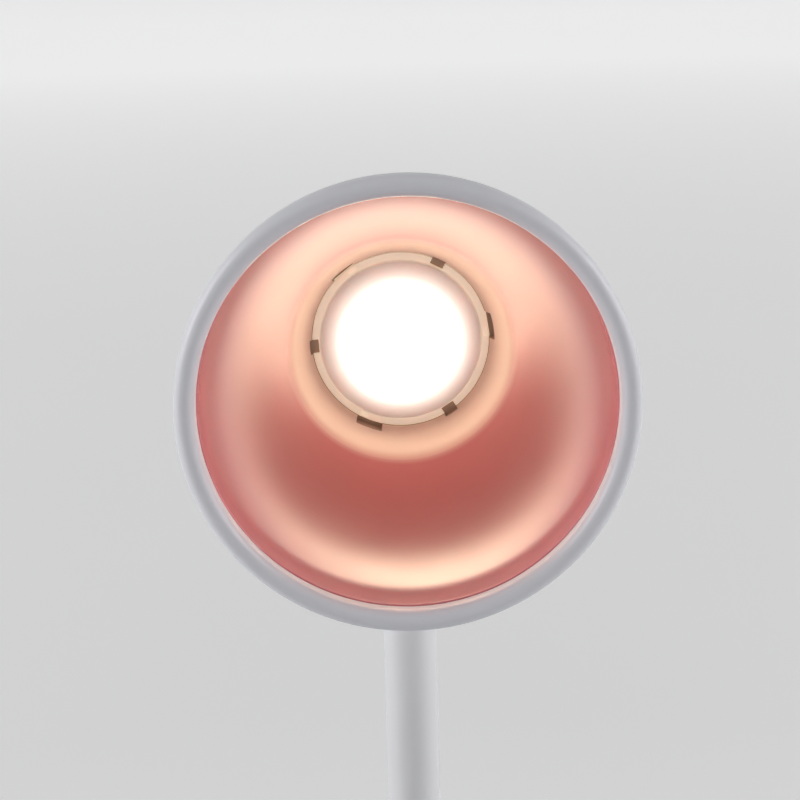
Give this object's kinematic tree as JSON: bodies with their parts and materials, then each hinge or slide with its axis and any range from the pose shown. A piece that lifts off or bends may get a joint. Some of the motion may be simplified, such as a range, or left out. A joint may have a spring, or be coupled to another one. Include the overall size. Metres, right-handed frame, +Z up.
{
  "type": "bedside lamp",
  "caption": "Bedside lamp with a deep round tilting head, coral reflector and white diffuser, on a straight tube stem and a weighted round base.",
  "frame": {"origin": "middle of the foot ring on the table, on the stem's axis", "axes": "+Z up along the stem, the head faces -Y, +X to the right as seen from the front"},
  "size_m": [0.14, 0.14, 0.385],
  "materials": {
    "white_shell": "satin white moulded shell",
    "coral_bowl": "high gloss coral pink",
    "diffuser": "translucent white, lit warm from behind",
    "chip": "yellow phosphor on a white carrier",
    "white_board": "white solder mask on aluminium",
    "pad": "soft grey-blue pad",
    "aluminium": "bare extruded aluminium",
    "steel": "plated steel",
    "white_wire": "insulated lead",
    "red_wire": "insulated lead",
    "black_rubber": "matt rubber",
    "dark_plastic": "acetal, dark grey",
    "white_metal": "white powder coat on aluminium tube",
    "white_cover": "satin white moulded base",
    "grey_plate": "light grey moulded base plate",
    "cast_weight": "steel plate, zinc grey",
    "cell": "plain shrink wrap, green",
    "board_green": "glass-fibre board, green mask",
    "clear_light": "clear light pipe"
  },
  "bodies": {
    "base": {"swivel_bush": "dark_plastic", "stem_tube": "white_metal", "stem_foot": "steel", "stem_washer": "steel", "stem_nut": "steel", "base_cover": "white_cover", "base_plate": "grey_plate", "ballast_weight": "cast_weight", "foot_ring": "black_rubber", "base_screws": "steel", "ballast_screws": "steel", "board_screws": "steel", "battery_cell": "cell", "battery_tray": "dark_plastic", "battery_contacts": "steel", "battery_lead": "red_wire", "charge_board": "board_green", "usb_socket": "steel", "control_board": "board_green", "board_chips": "dark_plastic", "tact_switch": "dark_plastic", "indicator_light": "clear_light", "stem_lead": "white_wire", "link_lead": "white_wire"},
    "neck": {"swivel_neck": "white_shell", "friction_washers": "dark_plastic", "retaining_clip": "steel", "friction_ring": "black_rubber", "neck_lead": "white_wire"},
    "head": {"head_shell": "white_shell", "front_ring": "white_shell", "reflector": "coral_bowl", "diffuser": "diffuser", "led_chip": "chip", "led_board": "white_board", "thermal_pad": "pad", "heat_sink": "aluminium", "heat_sink_screws": "steel", "led_board_screws": "steel", "head_lead": "white_wire", "lead_grommet": "black_rubber", "pivot_screw": "steel", "pivot_nut": "steel", "spring_washer": "steel", "hinge_caps": "white_shell"},
    "button": {"power_button": "white_cover", "switch_plunger": "dark_plastic"}
  },
  "joints": [
    {"name": "neck_swivel", "type": "hinge", "parent": "base", "child": "neck", "pos_m": [0, 0, 0.256], "axis": [0, 0, 1], "range_deg": [-150, 150]},
    {"name": "head_tilt", "type": "hinge", "parent": "neck", "child": "head", "pos_m": [0, 0, 0.274], "axis": [1, 0, 0], "range_deg": [-40, 60]},
    {"name": "button_press", "type": "slide", "parent": "base", "child": "button", "axis": [0, 0, -1], "range_m": [0, 0.0006], "stiffness_N_per_m": 2500}
  ]
}
